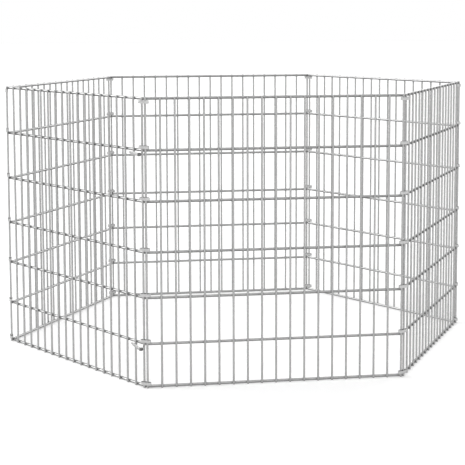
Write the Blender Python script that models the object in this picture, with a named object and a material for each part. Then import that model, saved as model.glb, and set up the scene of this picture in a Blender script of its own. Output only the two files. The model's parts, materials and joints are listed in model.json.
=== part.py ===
"""Six-sided folding pen of welded galvanised wire, for small livestock.

Six equal mesh panels stand on edge in a ring. Each panel has nineteen uprights with seven
heavier rails welded across their inner side. At every corner seven flat-oval strip sleeves
hold the two edge uprights together: the uprights turn and slide in them, so the ring folds
flat. Two bent strip hooks hang on the second upright of the front left panel and catch the
edge upright of the front panel.

Metres, +Z up. The origin is on the ground at the middle of the ring, +X runs to the right
along the front panel and +Y to the back.
"""

import math
from itertools import product

import bmesh
import bpy
from mathutils import Matrix, Vector

# Mesh of one panel
PANEL_WIDTH = 0.540
UPRIGHT_SPACES = 18
UPRIGHT_DIAMETER = 0.0043
RAIL_DIAMETER = 0.0055
RAIL_SPAN = 0.596
RAIL_GAP_PARTS = (89, 96.5, 94.5, 105, 105.5, 105.5)
UPRIGHT_OVERRUN = 0.00025
RAIL_OVERRUN = 0.0015
WIRE_SIDES = 6

# Corner between two panels
EDGE_SPACING = 0.0075
CLEARANCE = 0.0003
FOLDED_CLEARANCE = 0.0005
SLIDE_PLAY = 0.0004
SLEEVE_WALL = 0.0008
SLEEVE_HEIGHT = 0.0065
SLEEVE_END_CORNERS = 3

# Latch hooks of the front left panel
HOOK_RAILS = (("lower", 1), ("upper", 5))
HOOK_STRIP = 0.0012
HOOK_HEIGHT = 0.007
HOOK_NOSE = 0.006
HOOK_TAIL = 0.020
HOOK_TAIL_TIP = 0.0025
HOOK_EYE_FACES = 8
HOOK_REST_ANGLE = math.radians(18)

PANELS = ("front", "front_right", "back_right", "back", "back_left", "front_left")
CORNERS = ("front_right", "right", "back_right", "back_left", "left", "front_left")
TURN = math.tau / len(PANELS)
FIRST_FACING = -math.pi / 2
SHARP_ANGLE = math.radians(65)

ZINC = (0.60, 0.61, 0.62, 1.0)
STRIP_STEEL = (0.66, 0.67, 0.68, 1.0)


def polygon_radius(diameter, sides):
    """Corner radius of the even polygon with the same area as a round wire."""
    return diameter / 2 * math.sqrt(math.tau / (sides * math.sin(math.tau / sides)))


UPRIGHT_CORNER = polygon_radius(UPRIGHT_DIAMETER, WIRE_SIDES)
RAIL_CORNER = polygon_radius(RAIL_DIAMETER, WIRE_SIDES)
FLAT = math.cos(math.pi / WIRE_SIDES)
HALF_FACE = math.sin(math.pi / WIRE_SIDES)
UPRIGHT_FLAT = UPRIGHT_CORNER * FLAT
RAIL_FLAT = RAIL_CORNER * FLAT
RAIL_DEPTH = UPRIGHT_FLAT + RAIL_FLAT
PANEL_DEPTH = RAIL_DEPTH + RAIL_FLAT

UPRIGHT_PITCH = PANEL_WIDTH / UPRIGHT_SPACES
FIRST_RAIL = RAIL_CORNER + UPRIGHT_OVERRUN
GAP_PART = RAIL_SPAN / sum(RAIL_GAP_PARTS)
RAIL_HEIGHTS = [FIRST_RAIL + GAP_PART * sum(RAIL_GAP_PARTS[:k]) for k in range(len(RAIL_GAP_PARTS) + 1)]
PANEL_HEIGHT = RAIL_HEIGHTS[-1] + FIRST_RAIL
UPRIGHT_PLACES = [i * UPRIGHT_PITCH - PANEL_WIDTH / 2 for i in range(UPRIGHT_SPACES + 1)]

# The ring is a regular polygon whose sides run through the uprights' centres. An edge
# upright stands CORNER_RUN short of the polygon's corner.
CORNER_RUN = EDGE_SPACING / 2 / math.cos(TURN / 2)
RING_SIDE = PANEL_WIDTH + 2 * CORNER_RUN
RING_RADIUS = RING_SIDE / 2 / math.sin(TURN / 2)
RING_APOTHEM = RING_RADIUS * math.cos(TURN / 2)
EDGE_RADIUS = RING_RADIUS - CORNER_RUN * math.sin(TURN / 2)

# Folding flat shuts the left and right corners, which turns their sleeves by SHUT_TURN and
# spreads the edge uprights in them from EDGE_SPACING to twice FOLDED_HALF. The other four
# corners open until their panels are in line, and their sleeves turn by OPEN_TURN.
SHUT_TURN = math.pi / 2 - TURN / 2
OPEN_TURN = -TURN / 2
FOLDED_HALF = PANEL_DEPTH + FOLDED_CLEARANCE
SLIDE = FOLDED_HALF - EDGE_SPACING / 2
ARC_RADIUS = SLIDE / 2 / math.sin(SHUT_TURN / 2)
ARC_RISE = ARC_RADIUS * (1 - math.cos(SHUT_TURN / 2))
SLEEVE_AXIS_SIDE = EDGE_SPACING / 2 + SLIDE / 2
SLEEVE_AXIS_IN = ARC_RADIUS * math.cos(SHUT_TURN / 2)

SLEEVE_INNER_HALF = FOLDED_HALF + SLIDE_PLAY + UPRIGHT_CORNER + CLEARANCE
SLEEVE_INNER_RADIUS = UPRIGHT_CORNER + ARC_RISE / 2 + CLEARANCE
SLEEVE_RADIUS = EDGE_RADIUS + ARC_RISE / 2


def clear_scene():
    """Empty the scene."""
    for thing in list(bpy.data.objects):
        bpy.data.objects.remove(thing)


def metal(name, colour, roughness):
    """A bare metal material of one colour."""
    material = bpy.data.materials.new(name)
    material.use_nodes = True
    shader = material.node_tree.nodes["Principled BSDF"]
    shader.inputs["Base Color"].default_value = colour
    shader.inputs["Metallic"].default_value = 0.9
    shader.inputs["Roughness"].default_value = roughness
    return material


def ring_point(radius, angle):
    """A point on the ground at this distance and bearing from the middle of the ring."""
    return Vector((radius * math.cos(angle), radius * math.sin(angle), 0))


def facing(panel):
    """Bearing of the outward side of a panel."""
    return FIRST_FACING + PANELS.index(panel) * TURN


def bearing(corner):
    """Bearing of a corner from the middle of the ring."""
    return FIRST_FACING + (CORNERS.index(corner) + 0.5) * TURN


def section(corner_radius):
    """Corners of a wire's section as pairs of across and in, from the welded face round.

    The first two corners bound the flat that the other set of wires is welded to.
    """
    angles = [(k - 0.5) * math.tau / WIRE_SIDES for k in range(WIRE_SIDES)]
    return [(corner_radius * math.sin(a), corner_radius * math.cos(a)) for a in angles]


def fan(bm, near, start, end):
    """Fill between a divided edge and a plain one, from the plain edge's two ends."""
    middle = len(near) // 2
    for k in range(len(near) - 1):
        tip = start if k < middle else end
        bm.faces.new((near[k + 1], near[k], tip))
    bm.faces.new((near[middle], start, end))


def wire(bm, low_edge, high_edge, starts, ends):
    """Skin one straight wire, left open where it is welded.

    low_edge and high_edge are the divided edges of the welded flat. The pairs of points that
    bound a weld are left open between them, so the welded wires share one skin. starts and
    ends are the section's corners at the wire's two ends.
    """
    for k in range(0, len(low_edge) - 1, 2):
        bm.faces.new((low_edge[k], low_edge[k + 1], high_edge[k + 1], high_edge[k]))
    fan(bm, low_edge, starts[-1], ends[-1])
    fan(bm, high_edge[::-1], ends[2], starts[2])
    for k in range(2, len(starts) - 1):
        bm.faces.new((starts[k], ends[k], ends[k + 1], starts[k + 1]))
    bm.faces.new(starts)
    bm.faces.new(ends[::-1])


def panel_mesh():
    """One welded panel: x across, y inwards from the uprights' centres, z up."""
    bm = bmesh.new()
    upright_half = UPRIGHT_CORNER * HALF_FACE
    rail_half = RAIL_CORNER * HALF_FACE
    welds = {}
    for i, x in enumerate(UPRIGHT_PLACES):
        for k, z in enumerate(RAIL_HEIGHTS):
            for side, rise in product((-1, 1), repeat=2):
                corner = (x + side * upright_half, UPRIGHT_FLAT, z + rise * rail_half)
                welds[i, k, side, rise] = bm.verts.new(corner)

    for i, x in enumerate(UPRIGHT_PLACES):
        plan = [(x + across, inwards) for across, inwards in section(UPRIGHT_CORNER)]
        feet = [bm.verts.new((px, py, 0)) for px, py in plan]
        tops = [bm.verts.new((px, py, PANEL_HEIGHT)) for px, py in plan]
        edges = []
        for side, foot, top in ((-1, feet[0], tops[0]), (1, feet[1], tops[1])):
            inner = [welds[i, k, side, r] for k in range(len(RAIL_HEIGHTS)) for r in (-1, 1)]
            edges.append([foot] + inner + [top])
        wire(bm, *edges, feet, tops)

    tip = PANEL_WIDTH / 2 + RAIL_OVERRUN
    for k, z in enumerate(RAIL_HEIGHTS):
        profile = [(RAIL_DEPTH - out, z + up) for up, out in section(RAIL_CORNER)]
        cuts = [tip - (py - UPRIGHT_FLAT) * math.tan(TURN / 2) for py, pz in profile]
        left = [bm.verts.new((-cut, py, pz)) for cut, (py, pz) in zip(cuts, profile)]
        right = [bm.verts.new((cut, py, pz)) for cut, (py, pz) in zip(cuts, profile)]
        edges = []
        for rise, first, last in ((-1, left[0], right[0]), (1, left[1], right[1])):
            inner = [welds[i, k, s, rise] for i in range(UPRIGHT_SPACES + 1) for s in (-1, 1)]
            edges.append([first] + inner + [last])
        wire(bm, *edges, left, right)

    bmesh.ops.recalc_face_normals(bm, faces=bm.faces)
    mesh = bpy.data.meshes.new("welded_panel")
    bm.to_mesh(mesh)
    bm.free()
    mesh.shade_smooth()
    mesh.set_sharp_from_angle(angle=SHARP_ANGLE)
    return mesh


def strip_mesh(name, outline, hole, height):
    """A band of strip steel on edge: its plan outline round a hole, extruded upwards."""
    bm = bmesh.new()
    edges = []
    for loop in (outline, hole):
        corners = [bm.verts.new((x, y, -height / 2)) for x, y in loop]
        for first, second in zip(corners, corners[1:] + corners[:1]):
            edges.append(bm.edges.new((first, second)))
    bmesh.ops.triangle_fill(bm, edges=edges, use_beauty=True, normal=(0, 0, 1))
    raised = bmesh.ops.extrude_face_region(bm, geom=bm.faces[:])["geom"]
    corners = [item for item in raised if isinstance(item, bmesh.types.BMVert)]
    bmesh.ops.translate(bm, verts=corners, vec=(0, 0, height))
    bmesh.ops.recalc_face_normals(bm, faces=bm.faces)
    mesh = bpy.data.meshes.new(name)
    bm.to_mesh(mesh)
    bm.free()
    mesh.shade_smooth()
    mesh.set_sharp_from_angle(angle=SHARP_ANGLE)
    return mesh


def oval(half_length, radius):
    """Plan of a flat oval whose round ends are drawn round the outside of a half circle."""
    step = math.pi / SLEEVE_END_CORNERS
    corner = radius / math.cos(step / 2)
    straight = half_length - radius
    points = []
    for end, first in ((1, -math.pi / 2), (-1, math.pi / 2)):
        for k in range(SLEEVE_END_CORNERS):
            angle = first + (k + 0.5) * step
            points.append((end * straight + corner * math.cos(angle), corner * math.sin(angle)))
    return points


def sleeve_mesh():
    """Flat-oval strip sleeve: x along the corner's width, y outwards."""
    outer = oval(SLEEVE_INNER_HALF + SLEEVE_WALL, SLEEVE_INNER_RADIUS + SLEEVE_WALL)
    inner = oval(SLEEVE_INNER_HALF, SLEEVE_INNER_RADIUS)
    return strip_mesh("corner_sleeve", outer, inner, SLEEVE_HEIGHT)


def hook_mesh():
    """Latch hook round its upright at the origin: arm along x, outer side towards -y.

    A straight strip lies against the outer side of the upright and an eye bent from it goes
    round the inner side. The nose passes beyond the neighbour's edge upright, also when the
    two panels are in line, and the tail narrows to a thumb tip.
    """
    bore = UPRIGHT_CORNER + CLEARANCE
    eye = bore + HOOK_STRIP
    nose = UPRIGHT_PITCH + EDGE_SPACING + bore
    step = math.tau / HOOK_EYE_FACES
    hole_corner = bore / math.cos(step / 2)
    hole = []
    for k in range(HOOK_EYE_FACES):
        angle = (k + 0.5) * step
        hole.append((hole_corner * math.cos(angle), hole_corner * math.sin(angle)))

    meets = math.asin(bore / eye)
    sweep = math.pi + 2 * meets
    around = []
    for k in range(HOOK_EYE_FACES + 1):
        angle = sweep * k / HOOK_EYE_FACES - meets
        around.append((eye * math.cos(angle), eye * math.sin(angle)))

    outline = [(-HOOK_TAIL, -bore), (-HOOK_TAIL, -eye)]
    outline += [(nose, -eye), (nose + HOOK_STRIP, -bore)]
    outline += [(nose + HOOK_STRIP, HOOK_NOSE - bore), (nose, HOOK_NOSE - bore)]
    outline += [(nose, HOOK_STRIP - bore), (nose - HOOK_STRIP, -bore)]
    outline += around
    mesh = strip_mesh("latch_hook", outline, hole, HOOK_HEIGHT)
    for vertex in mesh.vertices:
        if vertex.co.x < -HOOK_TAIL + CLEARANCE:
            vertex.co.z = math.copysign(HOOK_TAIL_TIP / 2, vertex.co.z)
    return mesh


def axis_empty(name, place):
    """Empty that stands on a joint's upright axis."""
    empty = bpy.data.objects.new("axis_" + name, None)
    empty.location = place
    bpy.context.collection.objects.link(empty)
    return empty


def add(name, mesh, material, place, turn, axis=None):
    """Put a piece into the scene, carried by the empty on its joint's axis."""
    piece = bpy.data.objects.new(name, mesh)
    piece.data.materials.clear()
    piece.data.materials.append(material)
    if axis:
        piece.parent = axis
        place = place - axis.location
    piece.matrix_local = Matrix.Translation(place) @ Matrix.Rotation(turn, 4, "Z")
    bpy.context.collection.objects.link(piece)
    return piece


def edge_upright(panel, side):
    """Centre of a panel's edge upright, side 1 being the one on the way round to the next."""
    angle = facing(panel)
    along = Vector((-math.sin(angle), math.cos(angle), 0))
    return ring_point(RING_APOTHEM, angle) + side * PANEL_WIDTH / 2 * along


def panel_axis(corner, sleeve_turn, half_spacing):
    """Axis that one panel of a corner turns about against the other.

    The panels turn by twice the sleeve's turn. The axis stands on the line from the corner
    to the middle of the ring, where this turn brings the edge uprights to half_spacing
    either side of the sleeve's middle.
    """
    before = EDGE_SPACING / 2
    inwards = (half_spacing - before * math.cos(sleeve_turn)) / math.sin(sleeve_turn)
    return ring_point(EDGE_RADIUS - inwards, bearing(corner))


def sleeve_axis(corner, side):
    """Axis that the sleeves of a shutting corner turn about against the panel on this side."""
    angle = bearing(corner)
    along = Vector((-math.sin(angle), math.cos(angle), 0))
    return ring_point(EDGE_RADIUS - SLEEVE_AXIS_IN, angle) + side * SLEEVE_AXIS_SIDE * along


def add_panels():
    """The six panels, each on the axis that it turns about when the ring folds."""
    opening = (OPEN_TURN, EDGE_SPACING / 2)
    shutting = (SHUT_TURN, FOLDED_HALF)
    axes = {
        "back_right": panel_axis("back_right", *opening),
        "front_right": panel_axis("right", *shutting),
        "front": panel_axis("front_right", *opening),
        "back_left": panel_axis("back_left", *opening),
        "front_left": panel_axis("left", *shutting),
    }
    mesh = panel_mesh()
    material = metal("galvanised_wire", ZINC, 0.45)
    for panel in PANELS:
        angle = facing(panel)
        axis = axis_empty("panel_" + panel, axes[panel]) if panel in axes else None
        place = ring_point(RING_APOTHEM, angle)
        add("panel_" + panel, mesh, material, place, angle + math.pi / 2, axis)


def add_sleeves():
    """Seven sleeves at each corner: the top one under its rail, the others on top of theirs."""
    axes = {
        "back_right": edge_upright("back", -1),
        "back_left": edge_upright("back", 1),
        "right": sleeve_axis("right", 1),
        "left": sleeve_axis("left", -1),
        "front_right": edge_upright("front_right", -1),
        "front_left": edge_upright("front_left", 1),
    }
    mesh = sleeve_mesh()
    material = metal("sleeve_steel", STRIP_STEEL, 0.35)
    offset = RAIL_CORNER + CLEARANCE + SLEEVE_HEIGHT / 2
    for corner in CORNERS:
        angle = bearing(corner)
        axis = axis_empty("sleeves_" + corner, axes[corner])
        for k, height in enumerate(RAIL_HEIGHTS):
            number = len(RAIL_HEIGHTS) - k
            rise = -offset if number == 1 else offset
            place = ring_point(SLEEVE_RADIUS, angle) + Vector((0, 0, height + rise))
            name = f"sleeve_{corner}_{number}"
            add(name, mesh, material, place, angle - math.pi / 2, axis)


def add_hooks():
    """The two latch hooks, swung a little open, just under their rails."""
    mesh = hook_mesh()
    material = metal("hook_steel", STRIP_STEEL, 0.35)
    panel = "front_left"
    angle = facing(panel)
    along = Vector((-math.sin(angle), math.cos(angle), 0))
    upright = edge_upright(panel, 1) - UPRIGHT_PITCH * along
    drop = RAIL_CORNER + CLEARANCE + HOOK_HEIGHT / 2
    for name, rail in HOOK_RAILS:
        place = upright + Vector((0, 0, RAIL_HEIGHTS[rail] - drop))
        axis = axis_empty("latch_hook_" + name, place)
        turn = angle + math.pi / 2 - HOOK_REST_ANGLE
        add("latch_hook_" + name, mesh, material, place, turn, axis)


clear_scene()
add_panels()
add_sleeves()
add_hooks()
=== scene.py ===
# %% [markdown]
# # A folding pen of welded galvanised wire
#
# Six equal panels of welded wire stand on edge in a ring. Loose strip sleeves join them at
# the corners, and two strip hooks latch one corner. This lesson dresses the plain frame of
# the pen: each wire, sleeve and hook gets its real round or rolled form and a zinc finish.
# Nearly all that one sees of such an object is thin metal against a white ground, so the
# shapes are worked out exactly, and the light decides whether a wire reads as round.

# %% Load the frame
import json

import bpy
import numpy as np
from mathutils import Matrix, Vector


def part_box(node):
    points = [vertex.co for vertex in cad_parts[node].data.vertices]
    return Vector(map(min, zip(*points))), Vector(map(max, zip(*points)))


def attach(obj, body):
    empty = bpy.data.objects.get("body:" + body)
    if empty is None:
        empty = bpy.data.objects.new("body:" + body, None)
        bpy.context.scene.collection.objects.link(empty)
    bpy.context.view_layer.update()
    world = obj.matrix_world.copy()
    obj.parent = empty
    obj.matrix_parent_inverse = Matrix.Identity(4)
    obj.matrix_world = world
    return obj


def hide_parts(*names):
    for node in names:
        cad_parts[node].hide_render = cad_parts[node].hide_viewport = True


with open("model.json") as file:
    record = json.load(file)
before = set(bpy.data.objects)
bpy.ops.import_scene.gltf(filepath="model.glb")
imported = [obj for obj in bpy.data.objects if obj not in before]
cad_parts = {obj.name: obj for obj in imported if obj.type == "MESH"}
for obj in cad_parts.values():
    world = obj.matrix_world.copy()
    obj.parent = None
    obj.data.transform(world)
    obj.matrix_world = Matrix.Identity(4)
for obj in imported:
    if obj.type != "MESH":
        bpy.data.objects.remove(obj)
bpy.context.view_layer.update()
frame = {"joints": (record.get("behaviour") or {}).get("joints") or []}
joints = {joint["name"]: joint for joint in frame["joints"]}

# %% [markdown]
# ## The ring
#
# Every panel is the same welded sheet turned about the middle of the ring. Each could be
# drawn where it stands, but a piece is easier to work out once, flat and facing the reader,
# and then to turn into place. The hinge axes in the frame say where the edge uprights stand,
# and from those come the width of a panel and its distance from the middle.

# %% Where the panels and corners are
PANELS = ("front", "front_right", "back_right", "back", "back_left", "front_left")
CORNERS = ("front_right", "right", "back_right", "back_left", "left", "front_left")

# Directions of the panels' middles and of the corners, seen from the middle of the ring.
TURN = 2 * np.pi / len(PANELS)
FACING = -np.pi / 2 + TURN * np.arange(len(PANELS))
BEARING = FACING + TURN / 2

HALF_WIDTH, APOTHEM = joints["back_right_sleeves_turn"]["pos_m"][:2]
PANEL_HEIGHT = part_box("panel_front")[1].z
print(f"a panel is {2 * HALF_WIDTH:.3f} m wide and {PANEL_HEIGHT:.4f} m tall")


# %% Turning a shape into its place
def turned(points, angle, place):
    """Points turned about the vertical by an angle and then moved to a place."""
    c, s = np.cos(angle), np.sin(angle)
    spin = np.array([[c, -s, 0], [s, c, 0], [0, 0, 1]])
    return points @ spin.T + place


def on_circle(radius, angle, height=0.0):
    """A point at a distance and bearing from the middle of the ring, and at a height."""
    return np.array([radius * np.cos(angle), radius * np.sin(angle), height])


for panel, facing in zip(PANELS, FACING):
    print(panel, "panel's middle:", np.round(on_circle(APOTHEM, facing)[:2], 3))

# %% [markdown]
# ## Surfaces from grids
#
# A wire or a bent strip is one profile carried along a path. A curve object with a bevel
# would draw plain rods and bands, but it can't swell to one side at a weld, end in a slanting
# cut or carry values for the finish. So each surface is a grid of numbers: a block of points
# with one row for each station and one column for each point of the profile. The faces follow
# from the row and column numbers alone, so numpy can write them all at once, for one wire or
# for nineteen copies in a stack.

# %% Faces of a grid
def grid_shell(points):
    """Faces of stacked closed shells whose points have the shape (copies, rows, columns, 3).

    Neighbouring rows and columns are joined by four-sided faces and the columns close on
    themselves. One face with as many sides as there are columns shuts each end.
    """
    copies, rows, columns = points.shape[:3]
    index = np.arange(copies * rows * columns).reshape(copies, rows, columns)
    after = np.roll(index, -1, axis=2)
    sides = np.stack([index[:, :-1], after[:, :-1], after[:, 1:], index[:, 1:]], axis=-1)
    starts = index[:, 0, ::-1]
    ends = index[:, -1]
    return [sides.reshape(-1, 4), starts, ends]


sides, starts, ends = grid_shell(np.zeros((1, 3, 5, 3)))
print("3 rows of 5 points make", len(sides), "side faces and", len(starts) + len(ends), "end faces")

# %% Mesh object from shells
SMOOTH_UP_TO = np.radians(50)  # two faces that meet at a larger turn keep a sharp edge
print(f"faces are shaded as one surface up to a turn of {np.degrees(SMOOTH_UP_TO):.0f} degrees")


def mesh_piece(name, shells):
    """A mesh object made of shells, each given as its points, its faces and its marks.

    The faces are arrays of point numbers. The marks are surface values by name, with one
    number for each point, and all shells of a piece have the same ones.
    """
    places, corners, lengths, base = [], [], [], 0
    for points, faces, marks in shells:
        places.append(points.reshape(-1, 3))
        for block in faces:
            corners.append((block + base).ravel())
            lengths.append(np.full(len(block), block.shape[1]))
        base += len(places[-1])
    places, corners = np.concatenate(places), np.concatenate(corners)
    lengths = np.concatenate(lengths)
    mesh = bpy.data.meshes.new(name)
    mesh.vertices.add(len(places))
    mesh.vertices.foreach_set("co", places.astype(np.float32).ravel())
    mesh.loops.add(len(corners))
    mesh.loops.foreach_set("vertex_index", corners.astype(np.int32))
    mesh.polygons.add(len(lengths))
    mesh.polygons.foreach_set("loop_start", (np.cumsum(lengths) - lengths).astype(np.int32))
    mesh.update(calc_edges=True)
    mesh.validate()
    for mark in shells[0][2]:
        values = np.concatenate([marks[mark].ravel() for points, faces, marks in shells])
        layer = mesh.attributes.new(mark, "FLOAT", "POINT")
        layer.data.foreach_set("value", values.astype(np.float32))
    mesh.shade_smooth()
    mesh.set_sharp_from_angle(angle=SMOOTH_UP_TO)
    piece = bpy.data.objects.new(name, mesh)
    bpy.context.scene.collection.objects.link(piece)
    return piece


# %% [markdown]
# ## One welded panel
#
# The machine lays nineteen uprights across seven heavier rails and presses a current through
# every crossing. The two wires sink a little into each other there and a thin lip of metal is
# squeezed out round the joint. Plain rods that cross would look glued. So a wire here is a
# circle carried along a straight line whose radius swells towards the other wire at each
# weld, and a flat lens of metal sits in the gap. Cutting leaves the wires' ends with a small
# rounded edge. The sizes repeat those of the plain frame, in metres.

# %% Sizes of a panel
UPRIGHTS = 19
UPRIGHT_RADIUS = 0.00215
RAIL_RADIUS = 0.00275
RAIL_DEPTH = 0.004666  # from the uprights' middles inwards to the rails' middles
RAIL_OVERRUN = 0.0015  # from an edge upright's middle to the rail's end
FIRST_RAIL = 0.003274
RAIL_GAPS = (0.089, 0.0965, 0.0945, 0.105, 0.1055, 0.1055)
UPRIGHT_PLACES = np.linspace(-HALF_WIDTH, HALF_WIDTH, UPRIGHTS)
RAIL_HEIGHTS = FIRST_RAIL + np.concatenate([[0], np.cumsum(RAIL_GAPS)])
print("rails at", np.round(RAIL_HEIGHTS * 1000, 1), "mm")

# %% Stations along a welded wire
WELD_STATIONS = np.array([-6.0, -3.4, -1.9, -0.8, 0.8, 1.9, 3.4, 6.0]) / 1000
END_ROUND = 0.0004  # length of the rounded edge at a cut end


def weld_stations(welds, low, high):
    """Stations along a wire: a few close to each weld, and two at each rounded end.

    Those of a weld that would come within two rounded edges of an end are left out.
    """
    near = (welds[:, None] + WELD_STATIONS[None]).ravel()
    inside = near[(near > low + 2 * END_ROUND) & (near < high - 2 * END_ROUND)]
    return np.concatenate([[low, low + END_ROUND], np.sort(inside), [high - END_ROUND, high]])


print("an upright has", len(weld_stations(RAIL_HEIGHTS, 0, PANEL_HEIGHT)), "stations")

# %% Swelling, cut ends and roundness
WELD_REACH = 0.0026  # distance at which the swelling has fallen to about a third
WELD_SWELL = 0.00035  # how far a wire bulges towards the other one
END_INSET = 0.8 * END_ROUND  # how far the rim of an upright's cut face stands in from its side


def weld_nearness(stations, welds, reach):
    """Nearness to the closest weld, as a column: e to the minus square of distance over reach."""
    gap = np.abs(stations[:, None] - welds[None]).min(axis=1)
    return np.exp(-((gap / reach) ** 2))[:, None]


def end_shrink(stations):
    """Share of the radius at each station, as a column: less at the cut faces, else whole."""
    share = np.ones((len(stations), 1))
    share[[0, -1]] = 1 - END_INSET / UPRIGHT_RADIUS
    return share


def round_share(sides):
    """Share by which a polygon's corners stand further out than the circle of equal area.

    It is the root of one side's turn divided by the sine of that turn.
    """
    turn = 2 * np.pi / sides
    return np.sqrt(turn / np.sin(turn))


print(f"a wire of 12 sides has its corners at {round_share(12):.3f} of its radius")

# %% [markdown]
# ### Uprights
#
# An upright is thin drawn wire, cut square at both ends. More points would make a rounder
# circle, but there are 114 uprights, and at this size twelve points look round. Beside its
# place each point carries two marks for the finish: nearness to a weld, for burnt zinc and a
# painted contact shade, and the rails' dull tone and painted underside shade, nil on an upright.

# %% Nineteen uprights
def uprights(sides=12):
    """All uprights of a panel, as circles carried up straight lines.

    The radius at height z and angle a is the wire's radius, plus a swelling that is largest
    where z is a rail's height and a points inwards, to the rail. The mark of weld burn and
    painted contact shade follows the swelling.
    """
    z = weld_stations(RAIL_HEIGHTS, 0, PANEL_HEIGHT)
    a = np.linspace(0, 2 * np.pi, sides, endpoint=False)
    bulge = weld_nearness(z, RAIL_HEIGHTS, WELD_REACH) * np.clip(np.sin(a), 0, None) ** 2
    radius = UPRIGHT_RADIUS * round_share(sides) * end_shrink(z) + WELD_SWELL * bulge
    x = UPRIGHT_PLACES[:, None, None] + radius * np.cos(a)
    y = np.broadcast_to(radius * np.sin(a), x.shape)
    points = np.stack([x, y, np.broadcast_to(z[:, None], x.shape)], axis=-1)
    return points, {"weld_heat": np.broadcast_to(bulge, x.shape), "drained": np.zeros(x.shape)}


upright_shape = uprights()
print("uprights, stations and sides:", upright_shape[0].shape[:3])

# %% [markdown]
# ### Rails
#
# A rail is heavier wire on the inner side of the uprights. Its ends are cut on the slant,
# because two panels have to fold past each other at a corner. A boolean could cut a finished
# rod there, but it is simpler to let the last stations lean until the end lies in the cut. A
# rail gets a duller tone all round and a painted shade on its underside, and one mark says
# where.

# %% Marks of a rail
BURN_AND_SHADE_REACH = 1.1 * WELD_REACH
WRAP = 0.3  # how far a mark reaches round to the other side of a rail
DULL_ALL_ROUND = 0.3  # share of the mark that is a dull tone all round a rail, the rest being painted underside shade
# The rails' mark, painted underside shade included, is made weaker towards the ground.
GROUND_CUT_SHARE = 0.45  # share of the mark that is taken off near the ground
GROUND_CUT_HEIGHT = 0.15  # height at which that share has fallen to about a third
TONE_AND_SHADE_KEPT = 1 - GROUND_CUT_SHARE * np.exp(-RAIL_HEIGHTS / GROUND_CUT_HEIGHT)


def wrapped(facing_share):
    """A mark on one side of a wire that fades out a little past the middle of the wire.

    It is the share by which the surface faces that side plus the wrap, kept from 0 to 1.
    """
    return np.clip(WRAP + facing_share, 0, 1)


def rail_marks(s, a, shape):
    """Marks of all rails at the places s along them and the angles a round them.

    The mark of weld burn and painted contact shade is the nearness to a weld on the side of
    the uprights. The other mark is a dull tone, a share all round, and a painted shade on the
    rest where the surface faces down. Near the ground it is less, by an exponential of the
    rail's height.
    """
    # Weld burn and a painted contact shade on the rail beside each upright.
    burn_and_shade = weld_nearness(s, UPRIGHT_PLACES, BURN_AND_SHADE_REACH) * wrapped(-np.cos(a))
    # A dull tone all round the rail and a painted shade on its underside.
    under = DULL_ALL_ROUND + (1 - DULL_ALL_ROUND) * wrapped(-np.sin(a))
    drained = under * TONE_AND_SHADE_KEPT[:, None, None]
    return {"weld_heat": np.broadcast_to(burn_and_shade, shape), "drained": np.broadcast_to(drained, shape)}


print("share of the drained mark that is left, from the lowest rail up:", np.round(TONE_AND_SHADE_KEPT, 2))

# %% Seven rails
LEAN_LENGTH = 0.007  # from where a rail's stations begin to lean to the edge upright


def rails(sides=14):
    """All rails of a panel, as circles carried along straight lines across the uprights.

    The radius at place x and angle a is the rail's radius, plus a swelling that is largest
    at an upright and outwards, to the upright. Near the ends every station leans, until the
    last one lies in the slanting cut: it moves back by its depth times the tangent of half
    the corner's turn.
    """
    tip = HALF_WIDTH + RAIL_OVERRUN
    s = weld_stations(UPRIGHT_PLACES, -tip, tip)
    a = np.linspace(0, 2 * np.pi, sides, endpoint=False)
    bulge = weld_nearness(s, UPRIGHT_PLACES, WELD_REACH) * np.clip(-np.cos(a), 0, None) ** 2
    radius = RAIL_RADIUS * round_share(sides) * end_shrink(s) + WELD_SWELL * bulge
    y = RAIL_DEPTH + radius * np.cos(a)
    lean = np.sign(s) * np.clip((np.abs(s) - HALF_WIDTH) / LEAN_LENGTH + 1, 0, 1)
    x = s[:, None] - lean[:, None] * (y - UPRIGHT_RADIUS) * np.tan(TURN / 2)
    z = RAIL_HEIGHTS[:, None, None] + radius * np.sin(a)
    points = np.stack([np.broadcast_to(x, z.shape), np.broadcast_to(y, z.shape), z], axis=-1)
    return points, rail_marks(s, a, z.shape)


rail_shape = rails()
print("rails, stations and sides:", rail_shape[0].shape[:3])

# %% [markdown]
# ### Weld lips
#
# The lip is the metal that the weld squeezes out between the wires. A fillet made with a
# modifier would need the wires joined first. A flattened ball that sits in the gap shows the
# same soft edge, and 133 of them on a panel are one small grid repeated. No two welds are
# alike, so each ball's size is a little different.

# %% A lip at every crossing
LIP_HALF_SIZES = np.array([0.0026, 0.0009, 0.0030])
LIP_RINGS = np.radians([0, 30, 65, 90, 115, 150, 180])
LIP_POLE = 0.02  # share of the full radius at the poles, where the end faces shut the ball
LIP_SINK = 0.0001
LIP_SCATTER = 0.12


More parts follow.
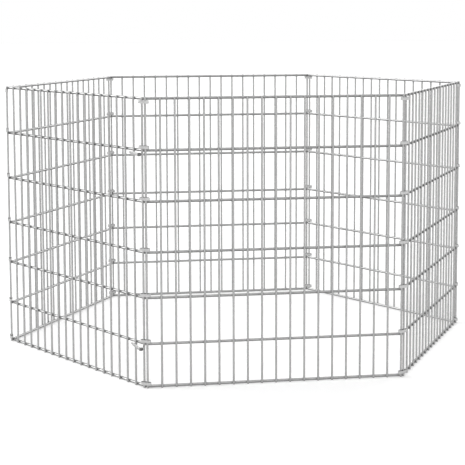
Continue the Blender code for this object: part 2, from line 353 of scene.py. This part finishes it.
def weld_lips(sides=10, seed=4):
    """The lens of squeezed metal at every crossing: a flattened ball in the wires' gap.

    Rings run from pole to pole through the depth. At the turn t from one pole, a ring stands
    cos t of the half thickness away from the middle and is sin t of the full radius wide.
    Each lens is a little larger or smaller than the next, by a seeded random share.
    """
    a = np.linspace(0, 2 * np.pi, sides, endpoint=False)
    wide = np.maximum(np.sin(LIP_RINGS), LIP_POLE)[:, None]
    deep = np.broadcast_to(np.cos(LIP_RINGS)[:, None], (len(LIP_RINGS), sides))
    ball = np.stack([wide * np.cos(a), deep, wide * np.sin(a)], axis=-1)
    x, z = np.meshgrid(UPRIGHT_PLACES, RAIL_HEIGHTS, indexing="ij")
    middle = np.stack([x.ravel(), np.full(x.size, UPRIGHT_RADIUS - LIP_SINK), z.ravel()], axis=-1)
    share = 1 + LIP_SCATTER * np.random.default_rng(seed).uniform(-1, 1, (len(middle), 1, 1, 1))
    points = middle[:, None, None] + ball * LIP_HALF_SIZES * share
    # The lips take the full mark of weld burn and painted contact shade.
    return points, {"weld_heat": np.ones(points.shape[:3]), "drained": np.zeros(points.shape[:3])}


lip_shape = weld_lips()
print("lips, rings and sides:", lip_shape[0].shape[:3])

# %% Put the six panels in place
panel_shape = [(points, grid_shell(points), marks)
               for points, marks in (upright_shape, rail_shape, lip_shape)]
wire_panels = []
for panel, facing in zip(PANELS, FACING):
    place = on_circle(APOTHEM, facing)
    shells = [(turned(points, facing + np.pi / 2, place), faces, marks)
              for points, faces, marks in panel_shape]
    piece = mesh_piece("wire_" + panel, shells)
    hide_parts("panel_" + panel)
    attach(piece, "panel_" + panel)
    wire_panels.append(piece)
print("one panel has", len(wire_panels[0].data.polygons), "faces")

# %% [markdown]
# ## The strip sleeves
#
# A sleeve is a band of thin strip bent into a flat oval, loose enough for both edge uprights
# to turn and slide in it. Its two cut ends meet on the inner side, where nobody looks. A
# slitting shear leaves strip with softly rounded edges, which is what catches the light on a
# piece this small. A box section with a bevel modifier could show that too, but a rounded
# rectangle carried round the oval has exactly the points that it needs.

# %% Sizes of a sleeve
STRIP_THICKNESS = 0.0008
STRIP_CORNER = 0.00028
SEAM_GAP = 0.00025
END_CORNERS = 3  # the plain frame draws a sleeve's half-round end with three corners

low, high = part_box("sleeve_right_1")
SLEEVE_DEPTH, SLEEVE_LENGTH, SLEEVE_HEIGHT = high - low
SLEEVE_RADIUS = (low.x + high.x) / 2
# Those corners stand out past the real, round end.
tip_excess = SLEEVE_DEPTH / 2 * (1 / np.cos(np.pi / 2 / END_CORNERS) - 1)
OVAL_HALF_LENGTH = SLEEVE_LENGTH / 2 - tip_excess - STRIP_THICKNESS / 2
OVAL_HALF_DEPTH = (SLEEVE_DEPTH - STRIP_THICKNESS) / 2
print(f"sleeve: {2000 * OVAL_HALF_LENGTH:.1f} by {2000 * OVAL_HALF_DEPTH:.1f} mm on the strip's middle")


# %% Section of a strip
def strip_section(thickness, height, corner, steps=3):
    """Rounded rectangle: four quarter circles of a radius, joined by straight sides.

    The first column is across the strip and the second is along its height. The points run
    clockwise, because the strip is drawn with the first column to the right of its path, and
    then its faces look outwards.
    """
    quarter = np.linspace(0, np.pi / 2, steps)
    angles = (quarter[None] + np.arange(4)[:, None] * np.pi / 2).ravel()
    centre = np.arange(4) * np.pi / 2 + np.pi / 4
    across = np.repeat(np.sign(np.cos(centre)) * (thickness / 2 - corner), steps)
    along = np.repeat(np.sign(np.sin(centre)) * (height / 2 - corner), steps)
    section = np.stack([across + corner * np.cos(angles), along + corner * np.sin(angles)], axis=-1)
    return section[::-1]


sleeve_section = strip_section(STRIP_THICKNESS, SLEEVE_HEIGHT, STRIP_CORNER)
print("strip section:", len(sleeve_section), "points,",
      np.round(1000 * np.ptp(sleeve_section, axis=0), 2), "mm")


# %% Path of a sleeve
def path_length(path):
    """Sum of the distances from each point of a path to the next."""
    return np.linalg.norm(np.diff(path, axis=0), axis=1).sum()


def oval_path(half_length, radius, gap, arc_points=14, side_points=6, half_side_points=4):
    """Flat oval from one end of its gap, in the middle of the inner side, round to the other.

    Two straight sides are joined by half circles.
    """
    straight = half_length - radius
    arc = np.linspace(-np.pi / 2, np.pi / 2, arc_points)
    right_end = np.stack([straight + radius * np.cos(arc), radius * np.sin(arc)], axis=-1)
    side = np.linspace(gap / 2, straight, half_side_points + 1)[:-1]
    out = np.stack([side, np.full_like(side, -radius)], axis=-1)
    across = np.linspace(straight, -straight, side_points + 2)[1:-1]
    over = np.stack([across, np.full_like(across, radius)], axis=-1)
    back = out[::-1] * np.array([-1, 1])
    return np.concatenate([out, right_end, over, -right_end, back])


sleeve_path = oval_path(OVAL_HALF_LENGTH, OVAL_HALF_DEPTH, SEAM_GAP)
print(f"a sleeve takes {1000 * path_length(sleeve_path):.1f} mm of strip")


# %% Bending a strip along its path
def bent_strip(path, section, height_share=1.0):
    """A strip on edge: its section carried along a level path.

    At every station the section's first column is laid off square to the path, to its right,
    and the second is laid off upwards, times the share of the height there.
    """
    tangent = np.gradient(path, axis=0)
    tangent = tangent / np.linalg.norm(tangent, axis=1, keepdims=True)
    right = np.stack([tangent[:, 1], -tangent[:, 0]], axis=-1)
    level = path[:, None] + right[:, None] * section[None, :, :1]
    rise = np.broadcast_to(height_share, len(path))[:, None] * section[None, :, 1]
    return np.concatenate([level, rise[..., None]], axis=-1)[None]


sleeve_points = bent_strip(sleeve_path, sleeve_section)
print("sleeve, stations and points of the section:", sleeve_points.shape[1:3])


# %% Marks of a strip
def strip_marks(section, thickness, height, points, sharpness=6):
    """Marks of a strip: 1 on its rolled edges, and 1 on the side that the bend hides.

    The edge mark is the share of the half height, to the power of the sharpness. The other is a
    painted shade: the share of the half thickness on the left of the path, and nothing on the right.
    """
    edge = (np.abs(section[:, 1]) * 2 / height) ** sharpness
    # Painted shade on the side that the bend hides.
    inner = np.clip(-section[:, 0] * 2 / thickness, 0, 1)
    shape = points.shape[:3]
    return {"edge": np.broadcast_to(edge, shape), "dull": np.broadcast_to(inner, shape)}


sleeve_marks = strip_marks(sleeve_section, STRIP_THICKNESS, SLEEVE_HEIGHT, sleeve_points)
print("marks of a sleeve, on average:",
      {name: round(float(mark.mean()), 2) for name, mark in sleeve_marks.items()})

# %% Put the sleeves in place
sleeve_faces = grid_shell(sleeve_points)
sleeves = []
for corner, bearing in zip(CORNERS, BEARING):
    for level in range(1, len(RAIL_HEIGHTS) + 1):
        node = f"sleeve_{corner}_{level}"
        low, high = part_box(node)
        place = on_circle(SLEEVE_RADIUS, bearing, (low.z + high.z) / 2)
        shell = (turned(sleeve_points, bearing - np.pi / 2, place), sleeve_faces, sleeve_marks)
        piece = mesh_piece("strip_" + node, [shell])
        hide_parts(node)
        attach(piece, "sleeves_" + corner)
        sleeves.append(piece)
print(len(sleeves), "sleeves of", len(sleeves[0].data.polygons), "faces each")

# %% [markdown]
# ## The latch hooks
#
# Each hook is cut from thicker strip and bent: a straight arm, a nose turned in at one end, a
# narrow thumb tail at the other, and an eye that goes round its upright. Box modelling could
# follow that outline, but the same bent strip as for the sleeves does it with two paths, one
# for the arm with its nose and tail and one for the eye. The bends are arcs, because strip
# cracks if it is bent to a sharp corner, and the height shrinks towards both ends.

# %% Sizes of a hook
HOOK_THICKNESS = 0.0012
HOOK_HEIGHT = 0.007
HOOK_CORNER = 0.0004
HOOK_BORE = 0.00266  # inner radius of the eye
HOOK_REACH = 0.0408  # from the eye's middle to the middle of the nose's strip
HOOK_NOSE = 0.006  # from the arm's inner side to the nose's end
HOOK_TAIL = 0.020  # from the eye's middle to the tail's tip
REST_ANGLE = np.radians(18)  # how far an open hook stands out of its panel
ARM_LINE = -HOOK_BORE - HOOK_THICKNESS / 2
NOSE_END = HOOK_NOSE - HOOK_BORE
hook_section = strip_section(HOOK_THICKNESS, HOOK_HEIGHT, HOOK_CORNER)
print(f"a hook is {1000 * (HOOK_TAIL + HOOK_REACH + HOOK_THICKNESS / 2):.1f} mm long")

# %% Path of the arm
NOSE_BEND = 0.0016
TIP_STATIONS = np.array([0, 0.4, 1.2, 3]) / 1000  # from the tail's tip
ARM_START = -0.012


def hook_arm(arm_points=14, bend_points=8, nose_points=6):
    """Path of the arm: straight from the tail's tip, then a quarter circle into the nose."""
    bend = HOOK_REACH - NOSE_BEND
    along = np.concatenate([TIP_STATIONS - HOOK_TAIL, np.linspace(ARM_START, bend, arm_points)])
    arm = np.stack([along, np.full_like(along, ARM_LINE)], axis=-1)
    arc = np.linspace(-np.pi / 2, 0, bend_points + 1)[1:]
    curve = np.stack([bend + NOSE_BEND * np.cos(arc), ARM_LINE + NOSE_BEND * (1 + np.sin(arc))], axis=-1)
    inwards = np.linspace(curve[-1, 1], NOSE_END, nose_points + 1)[1:]
    nose = np.stack([np.full_like(inwards, HOOK_REACH), inwards], axis=-1)
    return np.concatenate([arm, curve, nose])


arm_path = hook_arm()
print(f"the arm with its nose takes {1000 * path_length(arm_path):.1f} mm of strip")

# %% Height of the arm along its path
TAIL_SHARE = 0.36  # share of the strip's height at the tail's tip
TAIL_WIDE = -0.006  # place along the arm where the tail has reached the full height
TAIL_ROUND, TAIL_BLUNT = 0.0016, 0.98
NOSE_ROUND, NOSE_BLUNT = 0.0025, 0.9


def tip_share(distance, rounding, blunt):
    """Share of the height at a distance from a rounded tip.

    It follows a circle: the root of one less the square of the share of the rounding still
    ahead, which is cut off at the blunt share so that the tip keeps a small flat end.
    """
    ahead = np.clip(1 - distance / rounding, 0, blunt)
    return np.sqrt(1 - ahead ** 2)


def hook_height_share(path):
    """Share of the strip's height: rounded off at both tips, and narrow along the tail.

    The tail widens in a straight line from its tip to the eye.
    """
    x, y = path[:, 0], path[:, 1]
    widened = np.clip((x + HOOK_TAIL) / (TAIL_WIDE + HOOK_TAIL), 0, 1)
    tail = (TAIL_SHARE + (1 - TAIL_SHARE) * widened) * tip_share(x + HOOK_TAIL, TAIL_ROUND, TAIL_BLUNT)
    return tail * np.where(x > 0, tip_share(NOSE_END - y, NOSE_ROUND, NOSE_BLUNT), 1)


arm_share = hook_height_share(arm_path)
print("height at the tail's tip, at most and at the nose's end:",
      np.round(1000 * HOOK_HEIGHT * np.array([arm_share[0], arm_share.max(), arm_share[-1]]), 1), "mm")

# %% Path of the eye
EYE_SHARE = 0.94  # the eye is a little less tall than the arm


def hook_eye(steps=22):
    """Path of the eye: an arc round the upright that starts and ends on the arm's back."""
    radius = HOOK_BORE + HOOK_THICKNESS / 2
    meets = np.arcsin(HOOK_BORE / (HOOK_BORE + HOOK_THICKNESS))
    arc = np.linspace(-meets, np.pi + meets, steps)
    return np.stack([radius * np.cos(arc), radius * np.sin(arc)], axis=-1)


eye_path = hook_eye()
print(f"the eye takes {1000 * path_length(eye_path):.1f} mm of strip")

# %% Put the hooks in place
# Painted shade at the nose's end: its strength, where along the arm it begins and over what length it
# grows.
NOSE_SHADE, NOSE_SHADE_FROM, NOSE_SHADE_OVER = 0.8, 0.037, 0.003
arm = bent_strip(arm_path, hook_section, arm_share)
eye = bent_strip(eye_path, hook_section * np.array([1, EYE_SHARE]))
arm_marks = strip_marks(hook_section, HOOK_THICKNESS, HOOK_HEIGHT, arm)
eye_marks = strip_marks(hook_section, HOOK_THICKNESS, HOOK_HEIGHT, eye)
# A painted shade darkens the end of the nose.
arm_marks["dull"] = NOSE_SHADE * np.clip((arm[..., 0] - NOSE_SHADE_FROM) / NOSE_SHADE_OVER, 0, 1)
turn = FACING[PANELS.index("front_left")] + np.pi / 2 - REST_ANGLE
hooks = []
for level in ("lower", "upper"):
    place = np.array(joints[f"latch_hook_{level}_swing"]["pos_m"])
    shells = [(turned(points, turn, place), grid_shell(points), marks)
              for points, marks in ((arm, arm_marks), (eye, eye_marks))]
    piece = mesh_piece("strip_latch_hook_" + level, shells)
    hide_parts("latch_hook_" + level)
    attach(piece, "latch_hook_" + level)
    hooks.append(piece)
print("hooks:", [tuple(round(size * 1000, 1) for size in piece.dimensions) for piece in hooks])

# %% [markdown]
# ## A zinc finish as a node group
#
# Galvanised steel is never one grey. The zinc sets in patches of slightly different shade,
# the surface is faintly uneven, and handling dulls it in places. All metal here shares that
# look. Each material could have its own copy of the nodes, but then a change has to be made
# three times, so the look is built once as a node group with its own sockets. It puts out a
# colour, a roughness and a height, and each material feeds those to its own shader.

# %% The group and its sockets
def grey(value):
    """An opaque colour whose three parts are equal."""
    return (value, value, value, 1)


def group_sockets(group, inputs, outputs):
    """Name a group's inputs and outputs, with a starting value for each input."""
    for name, kind, value in inputs:
        socket = group.interface.new_socket(name, in_out="INPUT", socket_type=kind)
        socket.default_value = value
    for name, kind in outputs:
        group.interface.new_socket(name, in_out="OUTPUT", socket_type=kind)


zinc = bpy.data.node_groups.new("zinc_patina", "ShaderNodeTree")
# Dulling darkens towards the dark grey; the materials feed painted shade into it as well as real marks.
group_sockets(
    zinc,
    [("Light Zinc", "NodeSocketColor", grey(0.5)), ("Dark Zinc", "NodeSocketColor", grey(0.3)),
     ("Patch Size", "NodeSocketFloat", 120.0), ("Patchiness", "NodeSocketFloat", 0.25),
     ("Dulling", "NodeSocketFloat", 0.0),
     ("Smooth", "NodeSocketFloat", 0.35), ("Rough", "NodeSocketFloat", 0.55)],
    [("Color", "NodeSocketColor"), ("Roughness", "NodeSocketFloat"), ("Height", "NodeSocketFloat")])
print("zinc group sockets:", [socket.name for socket in zinc.interface.items_tree])

# %% Nodes of the zinc group
CLOUD_SCALE, CLOUD_DETAIL = 35.0, 4.0
GRAIN_SCALE, GRAIN_DETAIL = 1400.0, 2.0


def add_node(tree, kind, inputs=None, **settings):
    """A node with settings, and sockets either linked from another node or given a value."""
    node = tree.nodes.new(kind)
    for name, value in settings.items():
        setattr(node, name, value)
    for socket, value in (inputs or {}).items():
        if isinstance(value, bpy.types.NodeSocket):
            tree.links.new(value, node.inputs[socket])
        else:
            node.inputs[socket].default_value = value
    return node


given = add_node(zinc, "NodeGroupInput").outputs
spot = add_node(zinc, "ShaderNodeTexCoord").outputs["Object"]
patches = add_node(zinc, "ShaderNodeTexVoronoi", {"Vector": spot, "Scale": given["Patch Size"]})
shade = add_node(zinc, "ShaderNodeSeparateColor", {"Color": patches.outputs["Color"]}).outputs[0]
clouds = add_node(zinc, "ShaderNodeTexNoise",
                  {"Vector": spot, "Scale": CLOUD_SCALE, "Detail": CLOUD_DETAIL}).outputs["Fac"]
grain = add_node(zinc, "ShaderNodeTexNoise",
                 {"Vector": spot, "Scale": GRAIN_SCALE, "Detail": GRAIN_DETAIL}).outputs["Fac"]
mottle = add_node(zinc, "ShaderNodeMath", {0: shade, 1: clouds}, operation="MULTIPLY").outputs[0]
blend = add_node(zinc, "ShaderNodeMath", {0: mottle, 1: given["Patchiness"], 2: given["Dulling"]},
                 operation="MULTIPLY_ADD", use_clamp=True).outputs[0]
tint = add_node(zinc, "ShaderNodeMix", {"Factor": blend, "A": given["Light Zinc"], "B": given["Dark Zinc"]},
                data_type="RGBA")
rough = add_node(zinc, "ShaderNodeMix", {"Factor": blend, "A": given["Smooth"], "B": given["Rough"]})
height = add_node(zinc, "ShaderNodeMath", {0: grain, 1: clouds}, operation="ADD").outputs[0]
add_node(zinc, "NodeGroupOutput", {"Color": tint.outputs["Result"], "Roughness": rough.outputs["Result"],
                                   "Height": height})
print("zinc group:", len(zinc.nodes), "nodes")

# %% [markdown]
# ## The metals
#
# Three materials use the group: the drawn wire, the thin sleeve strip and the thicker hook
# strip. One material with one set of values would be simpler, but wire and strip don't reflect
# alike. Each has a shader of its own, because the numbers that are the same all over a surface
# belong on the shader's sockets and not inside the group.

# %% A shader fed by the zinc group
RELIEF = 0.0002  # height of the zinc's unevenness, in metres


def metal_shader(name, metallic, bump, grazing):
    """A material whose shader takes its colour and bump from the zinc group.

    Grazing is the share of light that the metal keeps where it curves away from the reader.
    """
    material = bpy.data.materials.new(name)
    material.use_nodes = True
    tree = material.node_tree
    shader = tree.nodes["Principled BSDF"]
    shader.inputs["Metallic"].default_value = metallic
    shader.inputs["Specular Tint"].default_value = grey(grazing)
    patina = tree.nodes.new("ShaderNodeGroup")
    patina.node_tree = zinc
    tree.links.new(patina.outputs["Color"], shader.inputs["Base Color"])
    relief = add_node(tree, "ShaderNodeBump", {"Height": patina.outputs["Height"], "Strength": bump,
                                               "Distance": RELIEF})
    tree.links.new(relief.outputs["Normal"], shader.inputs["Normal"])
    return material, tree, shader, patina


wire_metal, tree, shader, patina = metal_shader("wire_zinc", metallic=0.85, bump=0.12, grazing=0.45)
print(wire_metal.name, "has", len(tree.nodes), "nodes")


# %% Zinc of the wire
def set_patina(patina, light, dark, patch_size, smooth, rough):
    """Fill in one use of the zinc group, with greys given as single numbers."""
    patina.inputs["Light Zinc"].default_value = grey(light)
    patina.inputs["Dark Zinc"].default_value = grey(dark)
    patina.inputs["Patch Size"].default_value = patch_size
    patina.inputs["Smooth"].default_value = smooth
    patina.inputs["Rough"].default_value = rough


# The dark grey is what the marks darken the wire to, the painted shade among them.
set_patina(patina, light=0.44, dark=0.08, patch_size=160, smooth=0.27, rough=0.42)
tree.links.new(patina.outputs["Roughness"], shader.inputs["Roughness"])
print("values of the zinc on the wire:",
      {socket.name: round(socket.default_value, 2) for socket in patina.inputs if socket.type == "VALUE"})

# %% [markdown]
# ### Marks of the wire
#
# Welding burns the zinc off and leaves a greyer, rougher ring round each crossing, and the
# same mark paints a contact shade there. The rails get a duller tone all round and a painted
# shade on their undersides, less of both on the lowest rails. A painted texture could hold all
# that, but the marks are already stored with the wire's points, and here they are added up into
# the group's dulling.

# %% Dulling and painted shade of the wire
BURN_AND_SHADE_STRENGTH = 0.4
DULL_AND_SHADE_STRENGTH = 0.7


def surface_mark(tree, name):
    """A mark that is stored with a piece's points, as the output of a node."""
    return add_node(tree, "ShaderNodeAttribute", attribute_name=name).outputs["Fac"]


# Weld burn with painted contact shade, and the dull tone with painted underside shade, add up to the wire's
# darkening.
burn_and_shade = add_node(tree, "ShaderNodeMath", {0: surface_mark(tree, "weld_heat"), 1: BURN_AND_SHADE_STRENGTH},
                operation="MULTIPLY").outputs[0]
dull = add_node(tree, "ShaderNodeMath", {0: surface_mark(tree, "drained"), 1: DULL_AND_SHADE_STRENGTH, 2: burn_and_shade},
                operation="MULTIPLY_ADD").outputs[0]
tree.links.new(dull, patina.inputs["Dulling"])
print(wire_metal.name, "has", len(tree.nodes), "nodes with its marks")

# %% [markdown]
# ### The strip
#
# Strip is paler than wire, a painted shade darkens the side that its bend hides, and its rolled
# edges are polished by rubbing. The two strips differ only in their greys and in how uneven they
# are, so one loop makes both.

# %% Zinc of the strips
EDGE_POLISH = 0.12  # how much less rough the rolled edges are
strip_metals = {}
# The dark greys are what the painted shade of the hidden sides and noses darkens to.
for name, light, dark, bump in (("sleeve_zinc", 0.56, 0.04, 0.08), ("hook_zinc", 0.62, 0.06, 0.1)):
    material, tree, shader, patina = metal_shader(name, metallic=0.8, bump=bump, grazing=0.7)
    set_patina(patina, light, dark, patch_size=260, smooth=0.36, rough=0.46)
    # The darkening mark feeds painted shade into the dulling.
    tree.links.new(surface_mark(tree, "dull"), patina.inputs["Dulling"])
    rough = add_node(tree, "ShaderNodeMath", {0: surface_mark(tree, "edge"), 1: -EDGE_POLISH,
                                              2: patina.outputs["Roughness"]}, operation="MULTIPLY_ADD")
    tree.links.new(rough.outputs[0], shader.inputs["Roughness"])
    strip_metals[name] = material
print("strip materials:", list(strip_metals))

# %% Give each piece its metal
for pieces, material in ((wire_panels, wire_metal), (sleeves, strip_metals["sleeve_zinc"]),
                         (hooks, strip_metals["hook_zinc"])):
    for piece in pieces:
        piece.data.materials.append(material)
    print(material.name, "on", len(pieces), "pieces")

# %% [markdown]
# ## Ground, light and sky
#
# A wide pale ground carries the faint contact shadows and a white sky surrounds it. More
# light could make both white, but it would wash out the metal too. Instead the ground glows
# and the sky is full white only for rays that see them directly or in a reflection.

# %% Ground
def ground_mesh(name, size=60.0):
    """A flat square on the level z = 0, with its face upwards."""
    corners = np.array([[-1, -1, 0], [1, -1, 0], [1, 1, 0], [-1, 1, 0]]) * size / 2
    mesh = bpy.data.meshes.new(name)
    mesh.from_pydata(corners.tolist(), [], [(0, 1, 2, 3)])
    ground = bpy.data.objects.new(name, mesh)
    bpy.context.scene.collection.objects.link(ground)
    return ground


ground = ground_mesh("pale_ground")
print("ground:", tuple(ground.dimensions)[:2], "m")

# %% Paint of the ground
FLOOR_GREY = 0.8
FLOOR_GLOW = 0.3


def seen_directly(tree):
    """A number that is 1 for the camera's rays, mirrored rays and rays through glass, else 0."""
    path = add_node(tree, "ShaderNodeLightPath").outputs
    total = add_node(tree, "ShaderNodeMath", {0: path["Is Camera Ray"], 1: path["Is Glossy Ray"]},
                     operation="ADD")
    return add_node(tree, "ShaderNodeMath", {0: total.outputs[0], 1: path["Is Transmission Ray"]},
                    operation="ADD", use_clamp=True).outputs[0]


paint = bpy.data.materials.new("pale_floor")
paint.use_nodes = True
floor = paint.node_tree
floor_shader = floor.nodes["Principled BSDF"]
floor_shader.inputs["Base Color"].default_value = grey(FLOOR_GREY)
floor_shader.inputs["Roughness"].default_value = 0.95
floor_shader.inputs["Specular IOR Level"].default_value = 0.0
floor_shader.inputs["Emission Color"].default_value = grey(1)
glow = add_node(floor, "ShaderNodeMath", {0: seen_directly(floor), 1: FLOOR_GLOW}, operation="MULTIPLY")
floor.links.new(glow.outputs[0], floor_shader.inputs["Emission Strength"])
ground.data.materials.append(paint)
print("ground material:", paint.name)

# %% Sky
SKY_LIGHT = 0.4  # strength that lights the object
SKY_SEEN = 1.0  # strength that is seen, which is white

world = bpy.data.worlds.new("white_sky")
world.use_nodes = True
bpy.context.scene.world = world
sky = world.node_tree
backdrop = sky.nodes["Background"]
backdrop.inputs["Color"].default_value = grey(1)
level = add_node(sky, "ShaderNodeMapRange",
                 {"Value": seen_directly(sky), "To Min": SKY_LIGHT, "To Max": SKY_SEEN})
sky.links.new(level.outputs["Result"], backdrop.inputs["Strength"])
print("sky:", world.name)

# %% [markdown]
# ### Lamps
#
# A round wire mirrors light from a whole fan of directions, and its own direction sets the
# fan: an upright answers lamps all round the horizon, and a rail only those in a plane across
# it. One large lamp in front would leave some rails dark, so there are five distant soft
# lamps. The key lamp is in front, above and to the left, and a weak one fills from low on the
# right. One above the back lights the tops of the rails. The last two stand behind the pen at
# its left and right, where the receding side panels' rails mirror them to the reader, which
# keeps those rails as light as the front ones.

# %% Five soft lamps
def soft_sun(name, place, spread, power):
    """A distant lamp that shines from a place to the origin, as wide as its spread in degrees."""
    light = bpy.data.lights.new(name, "SUN")
    light.angle = np.radians(spread)
    light.energy = power
    lamp = bpy.data.objects.new(name, light)
    lamp.location = place
    lamp.rotation_euler = Vector(place).to_track_quat("Z", "Y").to_euler()
    bpy.context.scene.collection.objects.link(lamp)
    print(f"{name}: {power} over {spread} degrees")


soft_sun("key_lamp", place=(-1.2, -3.0, 3.0), spread=40, power=0.8)
soft_sun("fill_lamp", place=(1.5, -3.0, 0.8), spread=40, power=0.2)
soft_sun("top_lamp", place=(0.4, 1.6, 3.0), spread=60, power=0.3)
soft_sun("left_lamp", place=(-3.02, 2.05, 1.62), spread=50, power=2.3)
soft_sun("right_lamp", place=(2.42, 3.0, 1.15), spread=50, power=1.7)

# %% [markdown]
# ## The camera
#
# The reader looks from the front and a little from the left, from above the top rail. Tilting
# the camera down would be enough to bring the whole pen into the picture, but then its
# uprights would run together downwards. So it is tilted only a little and the lens is shifted
# down for the rest, which keeps the uprights nearly parallel.

# %% Set the camera
CAMERA_PLACE = (-0.5386, -3.2632, 0.7737)
YAW, PITCH, ROLL = np.radians([9.113, 6.232, -0.167])

lens = bpy.data.cameras.new("reader_camera")
lens.sensor_width = 36.0
lens.lens = 107.21
lens.shift_y = -0.15
lens.clip_start = 0.05
lens.clip_end = 200
camera = bpy.data.objects.new("reader_camera", lens)
look = (Matrix.Rotation(-YAW, 4, "Z") @ Matrix.Rotation(np.pi / 2 - PITCH, 4, "X")
        @ Matrix.Rotation(ROLL, 4, "Z"))
camera.matrix_world = Matrix.Translation(CAMERA_PLACE) @ look
bpy.context.scene.collection.objects.link(camera)
bpy.context.scene.camera = camera
bpy.context.scene.view_settings.view_transform = "Standard"
print(f"camera: {lens.lens:.0f} mm lens, {Vector(CAMERA_PLACE).length:.2f} m from the middle of the ring")
